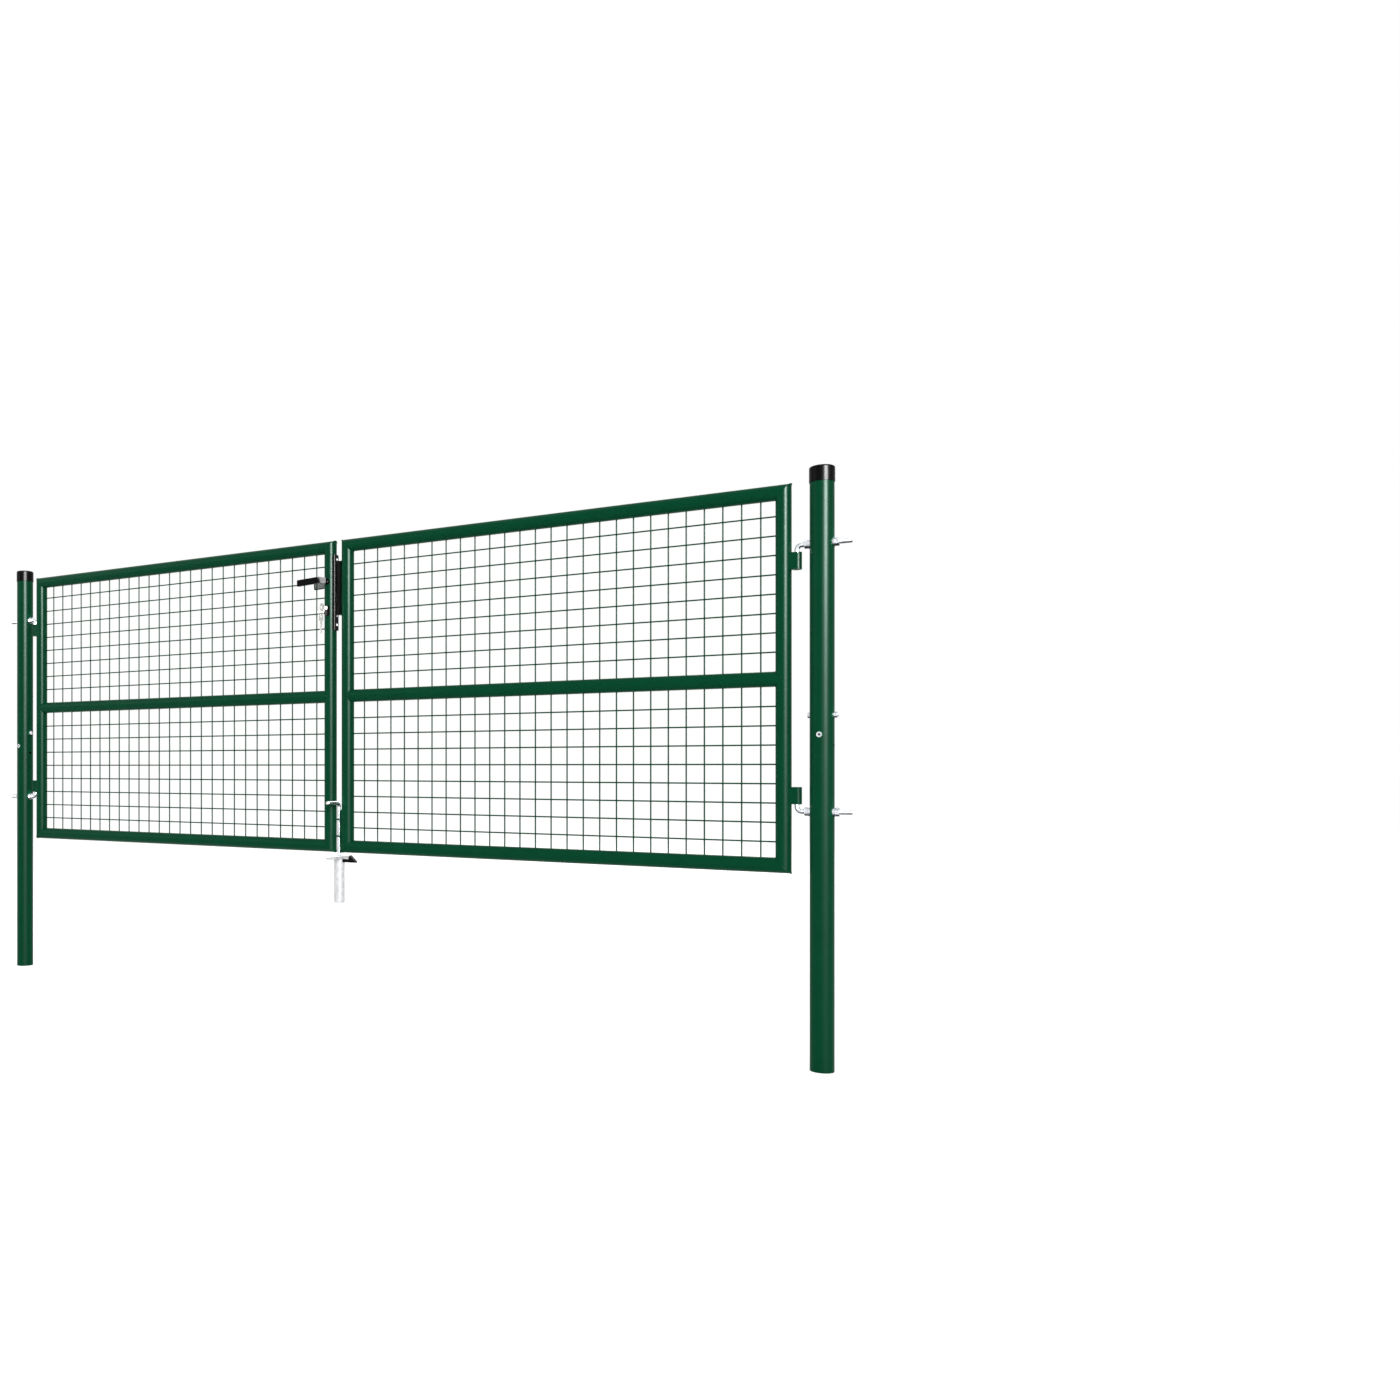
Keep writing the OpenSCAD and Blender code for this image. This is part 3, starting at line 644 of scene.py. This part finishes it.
def make_finishes(colours):
    """Makes each material once and keeps it under its record slot, or its own name. A colour's
    spread is how far its pattern takes it to either side."""
    FINISHES[COAT] = polyester_powder_coat(colours.coat, colours.coat_light)
    for name, make, colour, spread in (
        ("black_plastic", moulded_polypropylene, colours.plastic, 0.2),
        ("black_coated_steel", black_coated_steel, colours.black_coat, 0.2),
        ("zinc_plated_steel", zinc_plated_steel, colours.zinc, 0.08),
        ("galvanised_steel", hot_dip_galvanised_steel, colours.galvanised, 0.06),
        ("nickel_plated_brass", nickel_plated_brass, colours.nickel, 0.04),
        ("painted_reflection_polyamide", painted_reflection_polyamide, colours.core, 0.1),
        ("polished_polyamide", polished_polyamide, colours.plastic, 0.2),
        ("nickel_painted_dark", nickel_painted_dark, colours.cylinder, 0.1),
        ("oiled_steel", oiled_steel, colours.tongue, 0.15),
    ):
        dark = [v * (1 - spread) for v in colour[:3]] + [1.0]
        light = [min(1.0, v * (1 + spread)) for v in colour[:3]] + [1.0]
        FINISHES[name] = make(dark, light)


class GATE_OT_finish_steelwork(bpy.types.Operator):
    """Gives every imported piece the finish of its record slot"""

    bl_idname = "gate.finish_steelwork"
    bl_label = "Finish the steelwork"

    def execute(self, context):
        make_finishes(context.scene.gate_colours)
        for part in frame["record"]["subparts"]:
            piece = CAD_NODES[part["node"]]
            piece.data.materials.clear()
            own = OWN_FINISH.get(part["node"], part["material_slot"])
            piece.data.materials.append(FINISHES[own])
            for face in piece.data.polygons:
                face.material_index = 0
        return {"FINISHED"}


class GATE_OT_thread_bolts(bpy.types.Operator):
    """Winds the threads of the hook bolts and the cross bolts"""

    bl_idname = "gate.thread_bolts"
    bl_label = "Thread the bolts"

    def execute(self, context):
        self.hook_threads(context.scene.gate_fastenings.hook_pitch)
        self.cross_threads(context.scene.gate_fastenings.cross_pitch)
        return {"FINISHED"}

    def hook_threads(self, pitch):
        """Threads outside the posts, on the tails and on the shanks up to their bends."""
        nuts_low, nuts_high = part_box("left_hinge_nuts")
        rod = 6.0 * MM
        bend = 18.0 * MM  # from the far side of the pin to where the bolt starts to bend
        tip = 1.5 * MM
        for level, upper in (("upper", True), ("lower", False)):
            low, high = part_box(f"left_{level}_hook_bolt")
            height = high.z - rod if upper else low.z + rod
            for part, start, end in (
                ("tail", low.x + tip, nuts_low.x),
                ("shank", nuts_high.x, high.x - bend),
            ):
                name = f"{level}_{part}_thread"
                place = (start, 0.0, height)
                turned = (0.0, QUARTER, 0.0)
                made = wind_thread(f"left_{name}", rod, pitch, end - start, place, turned)
                copy_piece(made, f"right_{name}", "posts", mirrored=True)

    def cross_threads(self, pitch):
        """Threads on the ends of the cross bolts that stand out of their nuts."""
        low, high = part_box("left_cross_bolt")
        middle = (low + high) / 2
        rod = 4.0 * MM
        tip = 0.5 * MM
        seen = 3.5 * MM  # how much of the bolt stands out of its nut
        place = (middle.x, high.y - tip, middle.z)
        turned = (QUARTER, 0.0, 0.0)
        made = wind_thread("left_cross_thread", rod, pitch, seen, place, turned)
        copy_piece(made, "right_cross_thread", "posts", mirrored=True)


class GATE_OT_weld_frames(bpy.types.Operator):
    """Lays the weld beads of the leaves' frames, hinge eyes, strike, bracket and ground sleeve"""

    bl_idname = "gate.weld_frames"
    bl_label = "Weld the frames"

    def execute(self, context):
        stile_low, stile_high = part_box("left_hinge_stile")
        tube = (stile_high.x - stile_low.x) / 2
        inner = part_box("left_lock_stile")[1].x - tube
        outer = stile_low.x + tube
        self.mitres(outer, inner, tube, stile_low.z + tube, stile_high.z - tube)
        self.middle_joints(outer, inner, tube, (stile_low.z + stile_high.z) / 2)
        self.eye_beads(stile_low.x)
        self.strike_beads()
        self.bracket_beads()
        self.sleeve_bead()
        return {"FINISHED"}

    def mitres(self, outer, inner, tube, low, high):
        """The oval beads of the four mitred corners of each leaf."""
        for name, x, z, turn in (
            ("top_outer", outer, high, EIGHTH),
            ("bottom_outer", outer, low, -EIGHTH),
            ("top_inner", inner, high, -EIGHTH),
            ("bottom_inner", inner, low, EIGHTH),
        ):
            turned = (0.0, turn, 0.0)
            left = f"left_{name}_weld"
            made = ring_bead(left, "left_leaf", tube, (x, 0.0, z), turned, SLANT)
            copy_piece(made, f"right_{name}_weld", "right_leaf", mirrored=True)

    def middle_joints(self, outer, inner, tube, height):
        """The two half ovals at each end of the middle rails."""
        for side, x, way in (("outer", outer, 1), ("inner", inner, -1)):
            for level, up in (("upper", 1), ("lower", -1)):
                name = f"{side}_{level}_weld"
                place = (x, 0.0, height)
                turned = (0.0, -EIGHTH * way * up, 0.0)
                made = ring_bead(f"left_{name}", "left_leaf", tube, place, turned, SLANT)
                keep_side(place, (way, 0.0, up))
                face_outwards()
                copy_piece(made, f"right_{name}", "right_leaf", mirrored=True)

    def eye_beads(self, face):
        """Beads on the front and the back of each hinge eye's strap."""
        strap = 0.62  # half the strap's width, as a share of the eye's radius
        proud = 1.5 * MM  # how far the beads' middles stand off the stile
        short = 2.0 * MM  # how far the beads stop from the strap's ends
        for level in ("upper", "lower"):
            low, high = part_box(f"left_{level}_eye")
            for side, y in (("front", low.y), ("back", high.y)):
                name = f"{level}_eye_{side}_weld"
                start = (face + proud, strap * y, low.z + short)
                made = straight_bead(f"left_{name}", "left_leaf", start, high.z - low.z - short)
                copy_piece(made, f"right_{name}", "right_leaf", mirrored=True)

    def strike_beads(self):
        """Short beads where the strike's two returns meet the stile."""
        low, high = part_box("strike")
        inside = 1.0 * MM
        under = 2.5 * MM  # from the strike's top down to the feet of its upper beads
        length = 4.0 * MM
        for level, z in (("upper", high.z - under), ("lower", low.z)):
            for side, y in (("front", low.y), ("back", high.y)):
                start = (high.x - inside, y, z)
                straight_bead(f"strike_{level}_{side}_weld", "right_leaf", start, length)

    def bracket_beads(self):
        """Beads along both edges of the drop bolt bracket's plate."""
        low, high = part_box("drop_bolt_bracket")
        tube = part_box("right_meeting_stile")[0].x
        inside = 3.0 * MM
        short = 4.0 * MM  # how much shorter the beads are than the plate
        length = high.z - low.z - short
        for side, y in (("front", low.y), ("back", high.y)):
            start = (tube + inside, y, low.z + inside)
            straight_bead(f"bracket_{side}_weld", "right_leaf", start, length)

    def sleeve_bead(self):
        """The bead under the ground sleeve's plate, round its tube."""
        low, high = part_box("ground_sleeve")
        plate = 5.0 * MM  # the plate's thickness
        tube = 17.0 * MM  # the tube's radius
        place = ((low.x + high.x) / 2, 0.0, high.z - plate)
        ring_bead("sleeve_weld", "posts", tube, place, slot="galvanised_steel")


class GATE_OT_weld_mesh(bpy.types.Operator):
    """Adds the squeezed-out metal where the mesh's wires are welded across each other"""

    bl_idname = "gate.weld_mesh"
    bl_label = "Weld the mesh"

    def execute(self, context):
        spot = context.scene.gate_welds.spot
        for level in ("upper", "lower"):
            columns, rows, y = self.crossings(f"left_mesh_{level}")
            add_primitive(
                "ico_sphere", subdivisions=1, radius=spot, location=(columns[0], y, rows[0])
            )
            stretch((1.0, SPOT_FLAT, 1.0))
            repeat(len(columns), (columns[1] - columns[0], 0.0, 0.0))
            repeat(len(rows), (0.0, 0.0, rows[1] - rows[0]))
            made = close_piece(f"left_mesh_{level}_welds", "left_leaf", COAT, smooth=60.0)
            copy_piece(made, f"right_mesh_{level}_welds", "right_leaf", mirrored=True)
        return {"FINISHED"}

    def crossings(self, node):
        """Places across and up of the wires of one panel, and the depth at which they touch."""
        low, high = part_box(node)
        near = 0.1 * MM
        across, up = set(), set()
        for corner in CAD_NODES[node].data.vertices:
            if abs(corner.co.z - high.z) < near:
                across.add(round(corner.co.x, 3))
            if abs(corner.co.x - high.x) < near:
                up.add(round(corner.co.z, 3))
        return middles(across), middles(up), (low.y + high.y) / 2


class GATE_OT_fit_lock(bpy.types.Operator):
    """Adds the forend's screws, the lock cylinder's plugs, the cut levers with the grey plates in
    their backs, which are a painted reflection, and the strike's shroud"""

    bl_idname = "gate.fit_lock"
    bl_label = "Fit the lock"

    def execute(self, context):
        lock = context.scene.gate_lock
        lever = sum(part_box("lever_spindle"), Vector()) / 2
        low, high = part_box("lock_cylinder")
        key_height = high.z - 8.5 * MM  # the round part's middle, where the plug turns
        self.screws(context.scene.gate_fastenings.recess, lever.z, key_height)
        self.plugs(lock.plug, low, high, key_height)
        self.grips(lock, lever)
        self.reflection_plates(lock, lever)
        self.shroud()
        return {"FINISHED"}

    def screws(self, recess, lever_height, key_height):
        """The two screws of the forend and the smaller one that holds the cylinder."""
        sunk = 0.1 * MM
        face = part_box("lock_forend")[1].x - sunk
        for name, height, head in (
            ("upper_forend_screw", lever_height + 72.0 * MM, 4.4 * MM),
            ("lower_forend_screw", lever_height - 138.0 * MM, 4.4 * MM),
            ("cylinder_screw", key_height - 24.0 * MM, 3.4 * MM),
        ):
            self.screw(name, (face, 0.0, height), head, recess)

    def screw(self, name, place, head, recess):
        """A countersunk screw with a cross recess. Its sizes are shares of its head's radius."""
        depth = 0.55 * head
        inner = 0.601 * head  # just past the disc that the two insets leave on the head

        def on_disc(face):
            return face.normal.z > 0.9 and reach_of(face) < inner

        def in_cross(face):
            middle = face.calc_center_median()
            return on_disc(face) and min(abs(middle.x), abs(middle.y)) < 0.5 * recess

        add_primitive("cone", vertices=32, radius1=0.5 * head, radius2=head, depth=depth)
        start_edit()
        choose_faces(lambda face: face.normal.z > 0.9)
        bpy.ops.mesh.inset(thickness=0.06 * head)
        bpy.ops.mesh.inset(thickness=0.34 * head)
        for normal in ((1.0, 0.0, 0.0), (0.0, 1.0, 0.0)):
            for side in (-0.5, 0.5):
                choose_faces(on_disc)
                point = tuple(side * recess * v for v in normal)
                bpy.ops.mesh.bisect(plane_co=point, plane_no=normal)
        choose_faces(in_cross)
        bpy.ops.mesh.extrude_region_move(TRANSFORM_OT_translate={"value": (0, 0, -0.4 * head)})
        bpy.ops.transform.resize(value=(0.6, 0.6, 1.0))
        bpy.ops.object.mode_set(mode="OBJECT")
        bpy.context.object.location = (0.0, 0.0, -depth / 2)
        set_place()
        bpy.context.object.rotation_euler = (0.0, QUARTER, 0.0)
        bpy.context.object.location = place
        close_piece(name, "left_leaf", "zinc_plated_steel")

    def plugs(self, radius, low, high, height):
        """The plugs of the lock cylinder, a little proud of its faces, with bevelled rims."""
        depth = 1.6 * MM
        inside = 0.4 * MM  # from the cylinder's face in to a plug's middle
        for name, y, way in (("front_plug", low.y, -1), ("rear_plug", high.y, 1)):
            add_primitive(
                "cylinder",
                vertices=48,
                radius=radius,
                depth=depth,
                location=((low.x + high.x) / 2, y - way * inside, height),
                rotation=(QUARTER, 0.0, 0.0),
            )
            add_modifier("BEVEL", width=0.3 * MM, **BEVEL_RULE)
            close_piece(name, "left_leaf", "nickel_plated_brass")

    def grips(self, lock, lever):
        """The levers with the outer side of the bend cut flat, where they are gripped."""
        for name, side in (("front", -1), ("rear", 1)):
            low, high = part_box(f"{name}_lever")
            reach = max(-low.y, high.y) - lock.thick / 2 - lock.bend
            middle = Vector((lever.x - lock.bend, side * reach, lever.z))
            grip = copy_piece(CAD_NODES[f"{name}_lever"], f"{name}_lever_grip", "handle")
            for turn, depth in ((lock.flat_turn, lock.flat), (lock.end_turn, lock.end_flat)):
                outward = Vector((math.sin(turn), side * math.cos(turn), 0.0))
                keep_side(middle + depth * outward, -outward)
            bpy.ops.object.shade_smooth_by_angle(angle=math.radians(30.0))
            del grip["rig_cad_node"]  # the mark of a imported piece, which the copy isn't
            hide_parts(f"{name}_lever")

    def reflection_plates(self, lock, lever):
        """The grey plate let into the side of each lever that faces the leaf: a painted reflection
        on the black lever.
        """
        inner = 40.0 * MM  # from the leaf's middle plane to a lever's inner side
        droop = math.radians(3.0)
        end = 8.0 * MM  # from a lever's free end to its plate
        above = 4.0 * MM  # how far the drooping line meets the spindle above its middle
        thick = 1.0 * MM
        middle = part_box("front_lever")[0].x + end + lock.reflection_plate_length / 2
        rise = above - (lever.x - middle) * math.sin(droop)
        for name, side in (("front_lever_reflection_plate", -1), ("rear_lever_reflection_plate", 1)):
            add_primitive(
                "cube",
                size=1.0,
                location=(middle, side * inner, lever.z + rise),
                rotation=(0.0, -droop, 0.0),
                scale=(lock.reflection_plate_length, thick, lock.reflection_plate_width),
            )
            set_place()
            add_modifier("BEVEL", width=0.35 * MM, **BEVEL_RULE)
            # the plate's grey finish is the painted reflection
            close_piece(name, "handle", "black_plastic", "painted_reflection_polyamide")

    def shroud(self):
        """The folded sheet behind the strike that closes the space round the two tongues."""
        low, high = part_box("strike")
        sheet = 1.0 * MM
        aside = 2.5 * MM  # from the strike's face, and from the stile
        within = 3.5 * MM  # below the strike's top, and above its foot
        start, end = low.x + aside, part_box("right_meeting_stile")[0].x - aside
        bottom, top = low.z + within, high.z - within
        add_primitive(
            "cube",
            size=1.0,
            location=((start + end) / 2, 0.0, (top + bottom) / 2),
            scale=(end - start, high.y - low.y - sheet, top - bottom),
        )
        set_place()
        start_edit()
        bpy.ops.mesh.normals_make_consistent(inside=False)
        choose_faces(lambda face: abs(face.normal.x) > 0.9)
        bpy.ops.mesh.delete(type="ONLY_FACE")
        bpy.ops.object.mode_set(mode="OBJECT")
        add_modifier("SOLIDIFY", thickness=sheet, offset=-1.0)
        add_modifier("BEVEL", width=0.4 * MM, **BEVEL_RULE)
        close_piece("strike_shroud", "right_leaf", "black_coated_steel")


def middles(edges):
    """Middles of the wires whose two sides are in a set of places."""
    places = sorted(edges)
    found, group = [], [places[0]]
    for place in places[1:]:
        if place - group[-1] > WIRE_GAP:
            found.append((group[0] + group[-1]) / 2)
            group = []
        group.append(place)
    return [*found, (group[0] + group[-1]) / 2]


def reach_of(face):
    """Distance of a face's farthest corner from the axis."""
    return max(math.hypot(corner.co.x, corner.co.y) for corner in face.verts)


class GATE_OT_studio(bpy.types.Operator):
    """Adds the pale floor, the soft lamps, the white world and the camera"""

    bl_idname = "gate.studio"
    bl_label = "Studio"

    def execute(self, context):
        bpy.ops.object.select_all(action="DESELECT")
        bpy.ops.mesh.primitive_plane_add(size=400.0, location=(MIDDLE_X, 0.0, CAD_LOW.z))
        floor = context.object
        floor.name = "studio_floor"
        floor.data.materials.append(studio_floor())
        self.world(context.scene)
        for lamp in LAMPS:
            self.lamp(*lamp)
        self.camera(context.scene)
        context.scene.view_settings.view_transform = "Standard"
        return {"FINISHED"}

    def lamp(self, name, place, width, height, power, lights_all):
        """An area lamp that faces the middle of the gate. The one that shows only in gloss is
        the streak along each tube."""
        bpy.ops.object.light_add(type="AREA", location=place)
        lamp = bpy.context.object
        lamp.name = name
        lamp.data.shape = "RECTANGLE"
        lamp.data.size, lamp.data.size_y = width, height
        lamp.data.energy = power
        lamp.visible_diffuse = lights_all
        middle = (CAD_LOW + CAD_HIGH) / 2
        lamp.rotation_euler = (middle - Vector(place)).to_track_quat("-Z", "Y").to_euler()

    def world(self, scene):
        """White to the camera and in gloss, and a soft grey light on the object."""
        scene.world = bpy.data.worlds.new("studio_world")
        scene.world.use_nodes = True
        tree = scene.world.node_tree
        back = tree.nodes["Background"]
        back.inputs["Color"].default_value = (1.0, 1.0, 1.0, 1.0)
        links = [(seen_ray(tree), "Value")]
        ambient = add_node(tree, "ShaderNodeMapRange", links=links, To_Min=AMBIENT, To_Max=1.0)
        tree.links.new(ambient.outputs["Result"], back.inputs["Strength"])

    def camera(self, scene):
        """The camera, level, with its lens shifted."""
        settings = scene.gate_studio
        bpy.ops.object.camera_add(location=settings.eye)
        eye = bpy.context.object
        eye.rotation_euler = (QUARTER, 0.0, settings.turn)
        eye.data.lens = settings.lens
        eye.data.sensor_width = SENSOR
        eye.data.shift_x, eye.data.shift_y = settings.shift
        scene.camera = eye


class GATE_PT_panel(bpy.types.Panel):
    """Colours, sizes and pieces of the gate"""

    bl_idname = "GATE_PT_panel"
    bl_label = "Mesh Swing Gate"
    bl_space_type = "VIEW_3D"
    bl_region_type = "UI"
    bl_category = "Gate"

    def draw(self, context):
        for group in SETTINGS:
            for name in SETTINGS[group].__annotations__:
                self.layout.prop(getattr(context.scene, group), name)
        for operator in OPERATORS:
            self.layout.operator(operator.bl_idname)


OPERATORS = [
    GATE_OT_finish_steelwork,
    GATE_OT_thread_bolts,
    GATE_OT_weld_frames,
    GATE_OT_weld_mesh,
    GATE_OT_fit_lock,
    GATE_OT_studio,
]
SETTINGS = {
    "gate_colours": GateColours,
    "gate_fastenings": FasteningSettings,
    "gate_welds": WeldSettings,
    "gate_lock": LockSettings,
    "gate_studio": StudioSettings,
}


def register():
    for group, kind in SETTINGS.items():
        bpy.utils.register_class(kind)
        setattr(bpy.types.Scene, group, bpy.props.PointerProperty(type=kind))
    for kind in [*OPERATORS, GATE_PT_panel]:
        bpy.utils.register_class(kind)


def unregister():
    for kind in [GATE_PT_panel, *reversed(OPERATORS)]:
        bpy.utils.unregister_class(kind)
    for group, kind in SETTINGS.items():
        delattr(bpy.types.Scene, group)
        bpy.utils.unregister_class(kind)


def main():
    register()
    for operator in OPERATORS:
        space, name = operator.bl_idname.split(".")
        getattr(getattr(bpy.ops, space), name)()


if __name__ == "__main__":
    main()
